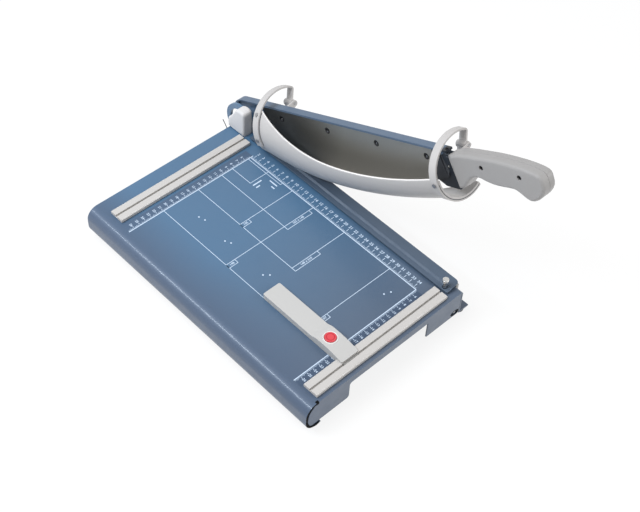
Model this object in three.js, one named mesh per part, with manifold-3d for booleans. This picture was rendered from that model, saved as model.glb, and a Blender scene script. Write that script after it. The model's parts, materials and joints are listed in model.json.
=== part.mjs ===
// Guillotine paper cutter: a folded sheet-steel table with a curved blade on a long arm,
// a press bar along the cut, a hinged blade guard, two stop rails and a sliding backstop.
// Millimetres, +Z up. The origin is on the desk, below the middle of the whole cutter.
// The operator stands at -Y, the cut runs along Y at the table's right edge.
// Sizes and places are counted from the middle of the table top, and shifted at the end.
import * as THREE from "three";
import { mergeVertices } from "three/addons/utils/BufferGeometryUtils.js";
import Module from "manifold-3d";

const wasm = await Module();
wasm.setup();

// Overall
const clearance = 0.3; // between pieces that touch
const overrun = 2; // how far a cutting tool passes a face
const weld = 0.0001; // corners this close are one
const roundSides = 20;
const screwSides = 12;
const tableWidth = 272; // left bend to cutting line
const tableDepth = 443;
const standHeight = 52; // desk to table top
const sheet = 2;

// Base sheet
const rollTopRadius = 17.5;
const rollFootRadius = 20;
const rollDrop = 11;
const rollCurl = THREE.MathUtils.degToRad(18);
const wallInset = 5.5; // cutting line to outer face of the right wall
const wallBend = 4;
const wallHeight = 41;
const flangeHeight = 12;
const legCorner = 5;
const leftLegWidth = 75;
const rightLegWidth = 66;
const flangeGap = 1;
const slotLength = 13;
const slotWidth = 6;
const slotInset = 9;
const slotRise = 6;
const footTabWidth = 18;
const footTabReach = 17;

// Counter knife and its screws
const knifeHeight = 22;
const knifeBackInset = 50;
const knifeFrontInset = 13;
const knifeScrewRadius = 3.5;
const knifeScrewHead = 2.5;
const knifeScrewShank = 2;
const knifeScrewCount = 4;
const knifeSkin = 1.5; // left of the knife in front of a screw

// Feet
const footRadius = 7.5;
const footInset = 10;
const rollPadRadius = 9;

// Pivot
const pivotInset = 15; // from the back edge
const pivotHeight = 15;
const boltRadius = 6;
const boltHeadRadius = 10;
const boltHeadThick = 6;
const bracketThick = 5;
const bracketWidth = 36;
const bracketDrop = 38; // below the table top
const bracketBoltRadius = 3;
const bracketBoltHead = 5;
const bracketBoltSpread = 9;
const bracketBoltDrop = 24;
const bracketBoltThick = 2.5;
const earRadius = 30;
const earBack = 11.5; // ear's centre behind the pivot
const earDrop = 15; // and below it
const earBand = 8;
const earWindowInner = 12;
const earWindowStart = THREE.MathUtils.degToRad(-10);
const earWindowEnd = THREE.MathUtils.degToRad(84);
const earFoot = 12; // below the table top
const frictionWasherThick = 1.7;
const frictionWasherRadius = 13;
const springWasherThick = 1.5;
const springWasherCone = 0.9;
const springWasherRadius = 11;
const springWasherCount = 2;
const nutRadius = 10;
const nutThick = 7;

// Pivot cap
const capWidth = 18;
const capDepth = 36;
const capHeight = 44;
const capWall = 2.5;
const capRound = 8;
const capBlend = 6;
const capSlope = 21; // corner cut off the top at the back
const capEdge = 4;
const capFrontReach = 17; // ahead of the pivot

// Arm
const armLift = THREE.MathUtils.degToRad(24.65);
const bladeTop = 22.5; // blade's upper edge above the pivot
const webThick = 5;
const webDepth = 28;
const hubRadius = 14;
const armFlangeThick = 3;
const armFlangeLip = 1; // past the blade's face
const armFlangeWidth = 12;
const tailReach = 35.5; // behind the pivot
const tailRise = 7; // above the blade's upper edge
const tailRound = 20.5;
const tailLip = 3;
const tailRampStart = 20;
const tailRampEnd = 6;
const armPlateStart = 372;
const armPlateToe = 398;
const armPlateHeel = 414;
const armPlateTop = 405;
const armPlateDepth = 53.5;
const armPlateHole = 2;
const tangStart = 400;
const tangDepth = 17;
const tangDrop = 4;
const tangEnd = 540;

// Blade
const bladeThick = 3;
const bladeBack = 34;
const bladeFrontTop = 388;
const bladeFrontEdge = 399.5;
const bladeFrontDepth = 39;
const bladeBelly = 189.5;
const bladeBellyDepth = 82;
const bladeBevel = 8;
const bladeSteps = 22;
const bladeScrewReaches = [73.5, 174, 273, 366];
const bladeScrewDrop = 16;
const bladeScrewRadius = 4;
const bladeScrewHead = 1.6;
const bladeScrewShank = 2.5;
const bladeScrewSocket = 1.8;
const bladeScrewSink = 0.2;

// Guard: its section is an arc whose centre and radius change from each end to the belly
const guardWall = 3;
const guardBelly = 195;
const guardBellyRadius = 42;
const guardBellyX = 4.6;
const guardBellyHeight = -29.5;
const guardBackRadius = 50.4;
const guardBackX = 12.2;
const guardBackHeight = -7.6;
const guardFrontRadius = 44;
const guardFrontX = 16.5;
const guardFrontHeight = -5.5;
const guardRimTop = THREE.MathUtils.degToRad(182);
const guardRimRise = THREE.MathUtils.degToRad(47); // how far the rim curls over at the back
const guardRimReach = 66;
const guardRimFade = 95;
const guardEdge = THREE.MathUtils.degToRad(279);
const guardEdgeFlare = THREE.MathUtils.degToRad(21);
const guardEdgeStart = 340;
const guardTrim = 4; // above the press bar with the arm raised
const guardSteps = 26;
const guardSides = 10;
const hoopThick = 2.4;
const hoopWidth = 12;
const hoopCorner = 5;
const hoopLean = THREE.MathUtils.degToRad(-24);
const backHoopReach = 59.5;
const backHoopTurn = THREE.MathUtils.degToRad(62);
const backHoopEnd = THREE.MathUtils.degToRad(194);
const frontHoopReach = 403.5;
const frontHoopTurn = THREE.MathUtils.degToRad(67);
const backStrapScrews = [142, 183].map(THREE.MathUtils.degToRad);
const frontStrapScrews = [188, 262].map(THREE.MathUtils.degToRad);
const strapScrewHead = 3;
const strapScrewShank = 1.5;
const strapScrewProud = 1;
const lugX = 30.5;
const lugHeight = 15.7;
const lugRadius = 5;
const lugWidth = 16;
const lugPinRadius = 2;
const lugPinHead = 3.5;
const lugPinHeadThick = 1.5;
const armEarThick = 4;
const armEarKnuckle = 4.5;
const armEarPlate = 3;
const armEarLength = 20;
const armEarLow = -2;
const armEarHigh = 15;

// Handle
const handleStart = 410;
const handleLength = 151;
const handleLow = -26;
const handleHeight = 54.5;
const handleHalf = 7.2;
const handleRoundShare = 0.029; // edge round to length
const handleOutlineShares = [
  [0, 0.817], [0.1, 0.897], [0.205, 0.945], [0.338, 0.972], [0.497, 1], [0.656, 1], [0.808, 0.98],
  [0.934, 0.925], [0.987, 0.845], [1, 0.706], [1, 0.541], [0.967, 0.376], [0.907, 0.229], [0.841, 0.174],
  [0.788, 0.229], [0.722, 0.335], [0.669, 0.37], [0.563, 0.35], [0.477, 0.345], [0.391, 0.376],
  [0.331, 0.42], [0.278, 0.415], [0.225, 0.35], [0.185, 0.229], [0.136, 0.073], [0.063, 0],
];
const handleSteps = 44;
const handleScrewReaches = [466, 526];
const handleScrewDrop = 8.5;
const handleScrewRadius = 3;
const handleScrewSink = 1;
const handleScrewHead = 3;
const handleScrewShank = 1.8;
const handleScrewEnd = 14;

// Press bar
const pressWidth = 25.5;
const pressLip = 7;
const pressRamp = 3;
const pressStep = 2.3;
const pressSheet = 2;
const pressGap = 2.5; // under the bar when it is lifted
const pressInset = 1.5;
const pressFrontInset = 11;
const pressBackInset = 41;
const pressCorner = 8;
const studInset = 21.5;
const studFront = 20;
const studRadius = 3;
const studHeadRadius = 4.5;
const studHeadHeight = 5;
const studTop = 20;
const studNutRadius = 6;
const studNutThick = 5;
const studBore = 3.6;

// Rails
const railWidth = 24;
const railHeight = 5;
const railGroove = 3;
const railGrooveDepth = 3.2;
const railChamfer = 1.5;
const railScrewInset = 28; // from each end of a rail
const railScrewHead = 3.5;
const railScrewHeadThick = 2.2;
const railScrewShank = 1.5;
const railScrewOffset = 6; // from the groove
const railScrewGrip = 3.4; // depth in the rail
const railLeftInset = 5;
const frontRailRight = 31;
const backRailRight = 34;
const frontRailInset = 6;
const backRailInset = 26;

// Backstop
const stopX = -60.5;
const stopWidth = 29;
const stopLength = 147.5;
const stopFoot = 2; // its near end past the rail's groove
const stopArmHeight = 8.5;
const stopHeadHeight = 12;
const stopNoseHeight = 7.4;
const stopStep = 10; // pad's ramp behind the button's rim
const stopRound = 2.5;
const stopStripHeight = 2.6;
const stopStripGroove = 0.8;
const stopStripLength = 85;
const buttonRadius = 8;
const buttonBack = 38; // button behind the rail's groove
const buttonProud = 1.2;
const buttonDepth = 4.6;
const buttonWall = 1.6;
const buttonGap = 0.4;
const buttonFloor = 2.4;
const buttonTravel = 2;
const springWire = 0.8;
const springRadius = 4.6;
const springTurns = 3;
const springSides = 5;
const springSteps = 10;
const shoeLength = 26;
const shoeWidth = 2.4;

const cutX = tableWidth / 2;
const leftX = -tableWidth / 2;
const frontY = -tableDepth / 2;
const backY = tableDepth / 2;
const pivotY = backY - pivotInset;
const wallX = cutX - wallInset;
const bracketRight = wallX - sheet - clearance;
const bracketLeft = bracketRight - bracketThick;
const hubLeft = bracketRight + 2 * clearance + frictionWasherThick - cutX;
const webLeft = bladeThick + clearance;
const webRight = webLeft + webThick;
const backRailNear = backY - backRailInset - railWidth;
const backRailEnd = cutX - backRailRight;
const frontRailNear = frontY + frontRailInset;
const frontRailEnd = cutX - frontRailRight;
const grooveY = frontRailNear + railWidth / 2;
const backSeat = backHoopReach + hoopWidth / 2; // near edge of the back hoop
const frontSeat = frontHoopReach - hoopWidth / 2; // far edge of the front hoop

const paint = (color, roughness, metalness) => {
  return new THREE.MeshStandardMaterial({ color, roughness, metalness });
};
const blue = paint(0x5f7f9f, 0.45, 0.2);
const steel = paint(0x9a9a98, 0.35, 0.9);
const bladeSteel = paint(0x6a6a66, 0.4, 0.9);
const zinc = paint(0xc8c8c4, 0.3, 0.9);
const pale = paint(0xd5d3cf, 0.5, 0);
const grey = paint(0xa9abb2, 0.5, 0);
const rubber = paint(0x55575a, 0.85, 0);
const red = paint(0xc04050, 0.4, 0);

const root = new THREE.Group();
const arm = new THREE.Group();
arm.position.set(cutX, pivotY, pivotHeight);
arm.rotation.x = -armLift;
root.add(arm);

// Solids

function solidOf(geometry) {
  const bare = geometry.index ? geometry.toNonIndexed() : geometry.clone();
  for (const key of Object.keys(bare.attributes)) if (key !== "position") bare.deleteAttribute(key);
  const merged = mergeVertices(bare, weld);
  const vertProperties = merged.attributes.position.array;
  const triVerts = new Uint32Array(merged.index.array);
  return new wasm.Manifold(new wasm.Mesh({ numProp: 3, vertProperties, triVerts }));
}

function geometryOf(solid) {
  const data = solid.getMesh();
  const geometry = new THREE.BufferGeometry();
  geometry.setAttribute("position", new THREE.BufferAttribute(new Float32Array(data.vertProperties), 3));
  geometry.setIndex(new THREE.BufferAttribute(new Uint32Array(data.triVerts), 1));
  geometry.computeVertexNormals();
  return geometry;
}

const toSolid = (piece) => (piece.isBufferGeometry ? solidOf(piece) : piece);
const join = (...parts) => parts.map(toSolid).reduce((a, b) => a.add(b));
const cut = (body, ...tools) => tools.map(toSolid).reduce((a, b) => a.subtract(b), toSolid(body));
const keep = (body, tool) => toSolid(body).intersect(toSolid(tool));

function place(name, body, material, parent = root) {
  const geometry = body.isBufferGeometry ? body : geometryOf(body);
  const mesh = new THREE.Mesh(geometry, material);
  mesh.name = name;
  parent.add(mesh);
  return mesh;
}

function box(x0, x1, y0, y1, z0, z1) {
  const geometry = new THREE.BoxGeometry(x1 - x0, y1 - y0, z1 - z0);
  return geometry.translate((x0 + x1) / 2, (y0 + y1) / 2, (z0 + z1) / 2);
}

const axisX = new THREE.Vector3(1, 0, 0);
const axisY = new THREE.Vector3(0, 1, 0);
const axisZ = new THREE.Vector3(0, 0, 1);
const shapeOf = (points) => new THREE.Shape(points.map(([u, v]) => new THREE.Vector2(u, v)));
const flat = (depth) => ({ depth, bevelEnabled: false, curveSegments: 8 });

// Outline in (y, z), pulled along X
function alongX(shape, x0, x1, options = flat(x1 - x0)) {
  const geometry = new THREE.ExtrudeGeometry(shape, options);
  return geometry.applyMatrix4(new THREE.Matrix4().makeBasis(axisY, axisZ, axisX)).translate(x0, 0, 0);
}

// Outline in (x, z), pulled along Y
function alongY(shape, y0, y1) {
  const geometry = new THREE.ExtrudeGeometry(shape, flat(y1 - y0));
  const turn = new THREE.Matrix4().makeBasis(axisX, axisZ, axisY.clone().negate());
  return geometry.applyMatrix4(turn).translate(0, y1, 0);
}

// Outline in (x, y), pulled along Z
function alongZ(shape, z0, z1) {
  return new THREE.ExtrudeGeometry(shape, flat(z1 - z0)).translate(0, 0, z0);
}

function rodX(x0, x1, y, z, radius, sides = roundSides) {
  const geometry = new THREE.CylinderGeometry(radius, radius, x1 - x0, sides).rotateZ(-Math.PI / 2);
  return geometry.translate((x0 + x1) / 2, y, z);
}

function rodY(y0, y1, x, z, radius, sides = roundSides) {
  return new THREE.CylinderGeometry(radius, radius, y1 - y0, sides).translate(x, (y0 + y1) / 2, z);
}

function rodZ(z0, z1, x, y, radius, sides = roundSides) {
  const geometry = new THREE.CylinderGeometry(radius, radius, z1 - z0, sides).rotateX(Math.PI / 2);
  return geometry.translate(x, y, (z0 + z1) / 2);
}

function arcPoints(cx, cy, radius, from, to, steps) {
  const points = [];
  for (let i = 0; i <= steps; i += 1) {
    const angle = from + ((to - from) * i) / steps;
    points.push([cx + radius * Math.cos(angle), cy + radius * Math.sin(angle)]);
  }
  return points;
}

// Closed outline of a strip of even thickness to the right of a path
function stripOutline(path, thickness) {
  const inner = path.map(([u, v], i) => {
    const before = path[Math.max(i - 1, 0)];
    const after = path[Math.min(i + 1, path.length - 1)];
    const length = Math.hypot(after[0] - before[0], after[1] - before[1]);
    const nu = (after[1] - before[1]) / length;
    const nv = -(after[0] - before[0]) / length;
    return [u + nu * thickness, v + nv * thickness];
  });
  return [...path, ...inner.reverse()];
}

// Outline with each corner rounded by its own radius
function roundedShape(corners) {
  const shape = new THREE.Shape();
  const count = corners.length;
  corners.forEach(([x, y, radius = 0], i) => {
    const here = new THREE.Vector2(x, y);
    const [px, py] = corners[(i + count - 1) % count];
    const [nx, ny] = corners[(i + 1) % count];
    const start = new THREE.Vector2(px - x, py - y).normalize().multiplyScalar(radius).add(here);
    const end = new THREE.Vector2(nx - x, ny - y).normalize().multiplyScalar(radius).add(here);
    if (i === 0) shape.moveTo(start.x, start.y);
    else shape.lineTo(start.x, start.y);
    if (radius > 0) shape.quadraticCurveTo(x, y, end.x, end.y);
  });
  shape.closePath();
  return shape;
}

// Swept skin through rings of [outer row, inner row back], closed at both ends
function loft(rings) {
  const size = rings[0].length;
  const last = (rings.length - 1) * size;
  const index = [];
  for (let i = 0; i + 1 < rings.length; i += 1) {
    for (let j = 0; j < size; j += 1) {
      const a = i * size + j;
      const b = i * size + ((j + 1) % size);
      index.push(a, b + size, b, a, a + size, b + size);
    }
  }
  for (let j = 0; j + 1 < size / 2; j += 1) {
    const [a, b, c, d] = [j, j + 1, size - 2 - j, size - 1 - j];
    index.push(a, b, c, a, c, d);
    index.push(last + a, last + c, last + b, last + a, last + d, last + c);
  }
  const geometry = new THREE.BufferGeometry();
  geometry.setAttribute("position", new THREE.Float32BufferAttribute(rings.flat(2), 3));
  geometry.setIndex(index);
  return geometry;
}

// Round skin through rings of points, closed by a fan at both ends
function tube(rings) {
  const size = rings[0].length;
  const last = (rings.length - 1) * size;
  const index = [];
  for (let i = 0; i + 1 < rings.length; i += 1) {
    for (let j = 0; j < size; j += 1) {
      const a = i * size + j;
      const b = i * size + ((j + 1) % size);
      index.push(a, b + size, b, a, a + size, b + size);
    }
  }
  for (let j = 1; j + 1 < size; j += 1) {
    index.push(0, j, j + 1);
    index.push(last, last + j + 1, last + j);
  }
  const geometry = new THREE.BufferGeometry();
  geometry.setAttribute("position", new THREE.Float32BufferAttribute(rings.flat(2), 3));
  geometry.setIndex(index);
  return geometry;
}

function ringX(x0, x1, y, z, outer, inner, sides = 32) {
  return cut(rodX(x0, x1, y, z, outer, sides), rodX(x0 - overrun, x1 + overrun, y, z, inner, sides));
}

// Base

function makeBase() {
  const rollX = leftX;
  const footX = leftX - rollTopRadius + rollFootRadius;
  const bend = [
    [wallX, -wallHeight],
    ...arcPoints(wallX - wallBend, -wallBend, wallBend, 0, Math.PI / 2, 4),
    ...arcPoints(rollX, -rollTopRadius, rollTopRadius, Math.PI / 2, Math.PI, 8),
    ...arcPoints(footX, -rollTopRadius - rollDrop, rollFootRadius, Math.PI, 1.5 * Math.PI + rollCurl, 10),
  ];
  const outline = stripOutline([...bend].reverse(), sheet);
  const skin = alongY(shapeOf(outline), frontY, backY);

  const flangeLeft = leftX - rollTopRadius + sheet + flangeGap;
  const flangeRight = wallX - sheet - flangeGap / 2;
  const corners = [
    [leftX, -sheet / 2],
    [flangeLeft + legCorner / 2, -rollTopRadius + legCorner, legCorner],
    [flangeLeft, -rollTopRadius - rollDrop, legCorner],
    [flangeLeft + legCorner, -wallHeight, legCorner],
    [leftX - rollTopRadius + leftLegWidth, -wallHeight, legCorner],
    [leftX - rollTopRadius + leftLegWidth, -flangeHeight, legCorner],
    [wallX - rightLegWidth, -flangeHeight],
    [wallX - rightLegWidth, -wallHeight],
    [flangeRight, -wallHeight, legCorner],
    [flangeRight, -sheet / 2],
  ];
  const frontFlange = alongY(roundedShape(corners), frontY, frontY + sheet);
  const backFlange = alongY(roundedShape(corners), backY - sheet, backY);
  const slotX = flangeRight - slotInset;
  const slotZ = -wallHeight + slotRise;
  const slot = alongY(
    roundedShape([
      [slotX - slotLength / 2, slotZ - slotWidth / 2, slotWidth / 2],
      [slotX + slotLength / 2, slotZ - slotWidth / 2, slotWidth / 2],
      [slotX + slotLength / 2, slotZ + slotWidth / 2, slotWidth / 2],
      [slotX - slotLength / 2, slotZ + slotWidth / 2, slotWidth / 2],
    ]),
    frontY - overrun,
    frontY + sheet + overrun,
  );
  const tabZ = -wallHeight;
  const tab = (y0, y1) => box(wallX - sheet, wallX + footTabReach, y0, y1, tabZ - sheet, tabZ + clearance);
  const bracketNotch = box(
    bracketLeft - clearance,
    wallX - sheet,
    pivotY - bracketWidth / 2 - clearance,
    backY + overrun,
    -earFoot - clearance,
    overrun,
  );
  const screwHoles = knifeScrewPlaces().map((y) => {
    const radius = knifeScrewShank + clearance;
    return rodX(wallX - sheet - overrun, wallX + overrun, y, -knifeHeight / 2, radius, screwSides);
  });
  const boltHoles = bracketBoltPlaces().map((y) => {
    const radius = bracketBoltRadius + clearance;
    return rodX(wallX - sheet - overrun, wallX + overrun, y, -bracketBoltDrop, radius, screwSides);
  });
  const drill = (x, y, radius, sides) => rodZ(-sheet - overrun, overrun, x, y, radius + clearance, sides);
  const studHole = drill(cutX - studInset, frontY + studFront, studRadius, roundSides);
  const railPlaces = [
    ...railScrewPlaces(backRailEnd, backRailNear),
    ...railScrewPlaces(frontRailEnd, frontRailNear),
  ];
  const railHoles = railPlaces.map(([x, y]) => drill(x, y, railScrewShank, screwSides));
  const body = join(
    skin,
    frontFlange,
    backFlange,
    tab(frontY, frontY + footTabWidth),
    tab(backY - footTabWidth, backY),
  );
  const holes = [...railHoles, ...screwHoles, ...boltHoles];
  place("base_sheet", cut(body, slot, bracketNotch, studHole, ...holes), blue);
}

function makeFeet() {
  const tabBottom = -wallHeight - sheet;
  const rightX = wallX + footTabReach - footRadius - clearance;
  const leftFootX = leftX - rollTopRadius + rollFootRadius;
  const rollBottom = -rollTopRadius - rollDrop - rollFootRadius;
  const ends = { front: frontY + footInset, back: backY - footInset };
  for (const [end, y] of Object.entries(ends)) {
    const foot = rodZ(-standHeight, tabBottom - clearance, rightX, y, footRadius);
    place(`foot_right_${end}`, foot, rubber);
    const pad = rodZ(-standHeight, rollBottom - clearance, leftFootX, y, rollPadRadius);
    place(`foot_left_${end}`, pad, rubber);
  }
}

// Counter knife along the right wall, screwed on from inside
function knifeScrewPlaces() {
  const y0 = frontY + knifeFrontInset + knifeHeight;
  const y1 = backY - knifeBackInset - knifeHeight;
  return Array.from({ length: knifeScrewCount }, (_, i) => y0 + ((y1 - y0) * i) / (knifeScrewCount - 1));
}

function makeCounterKnife() {
  const x0 = wallX + clearance;
  const x1 = cutX - clearance;
  const y0 = frontY + knifeFrontInset;
  const y1 = backY - knifeBackInset;
  const inside = wallX - sheet - clearance;
  const holes = knifeScrewPlaces().map((y) => {
    const radius = knifeScrewShank + clearance;
    return rodX(x0 - overrun, x1 - knifeSkin, y, -knifeHeight / 2, radius, screwSides);
  });
  place("counter_knife", cut(box(x0, x1, y0, y1, -knifeHeight, 0), ...holes), steel);
  knifeScrewPlaces().forEach((y, i) => {
    const z = -knifeHeight / 2;
    const tip = x1 - knifeSkin - clearance;
    const head = rodX(inside - knifeScrewHead, inside, y, z, knifeScrewRadius, screwSides);
    const shank = rodX(inside - clearance, tip, y, z, knifeScrewShank, screwSides);
    place(`knife_screw_${i + 1}`, join(head, shank), zinc);
  });
}

// Pivot bracket: a plate inside the right wall with a round ear behind the cap
function bracketBoltPlaces() {
  const middle = (pivotY - bracketWidth / 2 + backY - sheet) / 2;
  return [middle - bracketBoltSpread, middle + bracketBoltSpread];
}

function makeBracket() {
  const earY = pivotY + earBack;
  const earZ = pivotHeight - earDrop;
  const front = pivotY - bracketWidth / 2;
  const plate = box(bracketLeft, bracketRight, front, backY - sheet - clearance, -bracketDrop, pivotHeight);
  const boss = rodX(bracketLeft, bracketRight, pivotY, pivotHeight, bracketWidth / 2, 32);
  const disc = rodX(bracketLeft, bracketRight, earY, earZ, earRadius, 36);
  const far = earY + 2 * earRadius;
  const above = box(bracketLeft - overrun, bracketRight + overrun, front, far, -earFoot, earRadius);
  const window = alongX(
    shapeOf([
      ...arcPoints(earY, earZ, earRadius - earBand, earWindowStart, earWindowEnd, 12),
      ...arcPoints(earY, earZ, earWindowInner, earWindowEnd, earWindowStart, 8),
    ]),
    bracketLeft - overrun,
    bracketRight + overrun,
  );
  const boreRadius = boltRadius + clearance;
  const bore = rodX(bracketLeft - overrun, bracketRight + overrun, pivotY, pivotHeight, boreRadius);
  const boltHoles = bracketBoltPlaces().map((y) => {
    const radius = bracketBoltRadius + clearance;
    return rodX(bracketLeft - overrun, bracketRight + overrun, y, -bracketBoltDrop, radius, screwSides);
  });
  place("pivot_bracket", cut(join(plate, boss, keep(disc, above)), window, bore, ...boltHoles), blue);
  bracketBoltPlaces().forEach((y, i) => {
    const face = wallX + clearance;
    const head = rodX(face, face + bracketBoltThick, y, -bracketBoltDrop, bracketBoltHead, 6);
    const shank = rodX(bracketLeft, face + clearance, y, -bracketBoltDrop, bracketBoltRadius, screwSides);
    place(`bracket_bolt_${i + 1}`, join(head, shank), zinc);
  });
}

// Bolt, spring washers, friction washer and nut on the arm's axis
function makePivot() {
  const bore = boltRadius + clearance;
  const washerX = bracketRight + clearance;
  const washerEnd = washerX + frictionWasherThick;
  const washer = ringX(washerX, washerEnd, pivotY, pivotHeight, frictionWasherRadius, bore);
  place("friction_washer", washer, steel);
  const springPitch = springWasherThick + springWasherCone + clearance;
  for (let i = 0; i < springWasherCount; i += 1) {
    const x = bracketLeft - clearance - i * springPitch;
    const rim = x - springWasherCone;
    const profile = [
      [bore, x],
      [bore, x - springWasherThick],
      [springWasherRadius, rim - springWasherThick],
      [springWasherRadius, rim],
      [bore, x],
    ];
    const points = profile.map(([radius, along]) => new THREE.Vector2(radius, along));
    const ring = new THREE.LatheGeometry(points, 32).rotateZ(-Math.PI / 2).translate(0, pivotY, pivotHeight);
    place(`spring_washer_${i + 1}`, geometryOf(solidOf(ring)), steel);
  }
  const headX = bracketLeft - clearance - springWasherCount * springPitch;
  const nutX = cutX + webRight + clearance;
  const tip = nutX + nutThick + clearance;
  const head = rodX(headX - boltHeadThick, headX, pivotY, pivotHeight, boltHeadRadius, 6);
  const shank = rodX(headX - clearance, tip, pivotY, pivotHeight, boltRadius);
  place("pivot_bolt", join(head, shank), zinc);
  place("pivot_nut", cut(
    rodX(nutX, nutX + nutThick, pivotY, pivotHeight, nutRadius, 6),
    rodX(nutX - overrun, tip + overrun, pivotY, pivotHeight, bore),
  ), zinc);
}

function makeCap() {
  const right = bracketLeft - clearance;
  const left = right - capWidth;
  const front = pivotY - capFrontReach;
  const back = front + capDepth;
  const outline = (inset, bottom) => roundedShape([
    [front + inset, bottom],
    [back - inset, bottom],
    [back - inset, capHeight - capSlope, capBlend - inset],
    [back - capSlope, capHeight - inset, capBlend - inset],
    [front + inset, capHeight - inset, capRound - inset],
  ]);
  const shell = alongX(outline(0, clearance), left, right - capEdge, {
    depth: capWidth - 2 * capEdge,
    bevelThickness: capEdge,
    bevelSize: capEdge,
    bevelOffset: -capEdge,
    bevelSegments: 3,
    curveSegments: 6,
  }).translate(capEdge, 0, 0);
  const hollow = alongX(outline(capWall + capEdge / 2, -overrun), left + capWall, right + overrun);
  place("pivot_cap", cut(shell, hollow), grey);
}

// Arm: an angle section with a hub, a raised tail, an end plate and a tang, in the arm's own frame.
// There the pivot is the origin, -Y runs to the handle and +Z is square to the blade's upper edge.
function makeArmBar() {
  const tailTop = bladeTop + tailRise;
  const inset = armFlangeThick / 2;
  const path = [
    [-armPlateTop, bladeTop],
    [-tailRampStart, bladeTop],
    [-tailRampEnd, tailTop],
    ...arcPoints(tailReach - tailRound, tailTop - tailRound, tailRound, Math.PI / 2, 0, 8),
    [tailReach, tailTop - tailRound - tailLip],
  ];
  const flangeOutline = shapeOf(stripOutline(path, armFlangeThick));
  const flange = alongX(flangeOutline, -armFlangeLip, armFlangeWidth - armFlangeLip);
  const webShape = roundedShape([
    [-tangStart - overrun, bladeTop - inset],
    [-tailRampStart, bladeTop - inset],
    [-tailRampEnd, tailTop - inset],
    [tailReach - inset, tailTop - inset, tailRound - inset],
    [tailReach - inset, tailTop - tailRound - tailLip, tailLip / 2],
    [hubRadius / 2, -hubRadius / 2],
    [-tailRampStart, bladeTop - webDepth],
    [-tangStart - overrun, bladeTop - webDepth],
  ]);
  const plateShape = roundedShape([
    [-armPlateStart, 0],
    [-armPlateToe, bladeTop - armPlateDepth, tailLip],
    [-armPlateHeel, bladeTop - armPlateDepth + tailLip, tailLip],
    [-armPlateTop, bladeTop - inset],
    [-armPlateStart, bladeTop - inset],
  ]);
  const tangTop = bladeTop - tangDrop;
  const tang = box(webLeft, webRight, -tangEnd, -tangStart, tangTop - tangDepth, tangTop);
  const hub = rodX(hubLeft, webRight, 0, 0, hubRadius, 32);
  const bore = rodX(hubLeft - overrun, webRight + overrun, 0, 0, boltRadius + clearance, 32);
  const through = [webLeft - overrun, webRight + overrun];
  const drill = (reach, z, radius) => rodX(...through, -reach, z, radius, screwSides);
  const screwHoles = bladeScrewReaches.map((reach) => {
    return drill(reach, bladeTop - bladeScrewDrop, bladeScrewShank + clearance);
  });
  const handleHoles = handleScrewReaches.map((reach) => {
    return drill(reach, bladeTop - handleScrewDrop, handleScrewShank + clearance);
  });
  const plateHole = drill(armPlateToe, -armPlateHole, armPlateHole);
  const web = alongX(webShape, webLeft, webRight);
  const plate = alongX(plateShape, webLeft, webRight);
  const body = join(flange, web, plate, tang, hub);
  place("arm_bar", cut(body, bore, plateHole, ...screwHoles, ...handleHoles), blue, arm);
}

// Height of the cutting edge along the arm, a shallow parabola
function edgeHeight(reach) {
  const curve = (bladeBellyDepth - bladeFrontDepth) / (bladeFrontEdge - bladeBelly) ** 2;
  return bladeTop - bladeBellyDepth + curve * (reach - bladeBelly) ** 2;
}

function makeBlade() {
  const top = bladeTop - armFlangeThick - clearance;
  const rings = [];
  for (let i = 0; i <= bladeSteps; i += 1) {
    const low = bladeBack + ((bladeFrontEdge - bladeBack) * i) / bladeSteps;
    const high = bladeBack + ((bladeFrontTop - bladeBack) * i) / bladeSteps;
    const edge = edgeHeight(low);
    rings.push([
      [0, -low, edge],
      [0, -high, top],
      [bladeThick, -high, top],
      [bladeThick, -low, edge + bladeBevel],
    ]);
  }
  const z = bladeTop - bladeScrewDrop;
  const seat = bladeScrewSink + bladeScrewHead + clearance;
  const holes = bladeScrewReaches.flatMap((reach) => [
    rodX(-overrun, seat, -reach, z, bladeScrewRadius + clearance, 16),
    rodX(0, bladeThick + overrun, -reach, z, bladeScrewShank + clearance, screwSides),
  ]);
  place("blade", cut(loft(rings), ...holes), bladeSteel, arm);
  bladeScrewReaches.forEach((reach, i) => {
    const head = rodX(bladeScrewSink, bladeScrewSink + bladeScrewHead, -reach, z, bladeScrewRadius, 16);
    const middle = bladeScrewSink + bladeScrewHead / 2;
    const shank = rodX(middle, webRight, -reach, z, bladeScrewShank, screwSides);
    const socket = rodX(bladeScrewSink - overrun, middle, -reach, z, bladeScrewSocket, 6);
    place(`blade_screw_${i + 1}`, cut(join(head, shank), socket), zinc, arm);
  });
}

// Guard: a trough swept along the blade, hung on two hoops that hinge at the arm's right side
function guardSection(reach) {
  const atBack = reach < guardBelly;
  const span = atBack ? guardBelly - backSeat : frontSeat - guardBelly;
  const share = Math.min(Math.abs(reach - guardBelly) / span, 1);
  const blend = (belly, back, front) => belly + ((atBack ? back : front) - belly) * share * share;
  return {
    x: blend(guardBellyX, guardBackX, guardFrontX),
    height: blend(guardBellyHeight, guardBackHeight, guardFrontHeight),
    radius: blend(guardBellyRadius, guardBackRadius, guardFrontRadius),
  };
}

// Point of the guard's section, its angle counted from the right
function around({ x, height }, radius, angle) {
  return [x + radius * Math.cos(angle), height + radius * Math.sin(angle)];
}

// Rods square to the guard's section, for its screws and the holes for them
function strapRods(reach, angles, thick, inner, outer) {
  const section = guardSection(reach);
  return angles.map((angle) => {
    const [x, z] = around(section, (inner + outer) / 2, angle);
    const rod = new THREE.CylinderGeometry(thick, thick, outer - inner, screwSides);
    return rod.rotateZ(-Math.PI / 2).rotateY(-angle).translate(x, -reach, z);
  });
}

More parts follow.
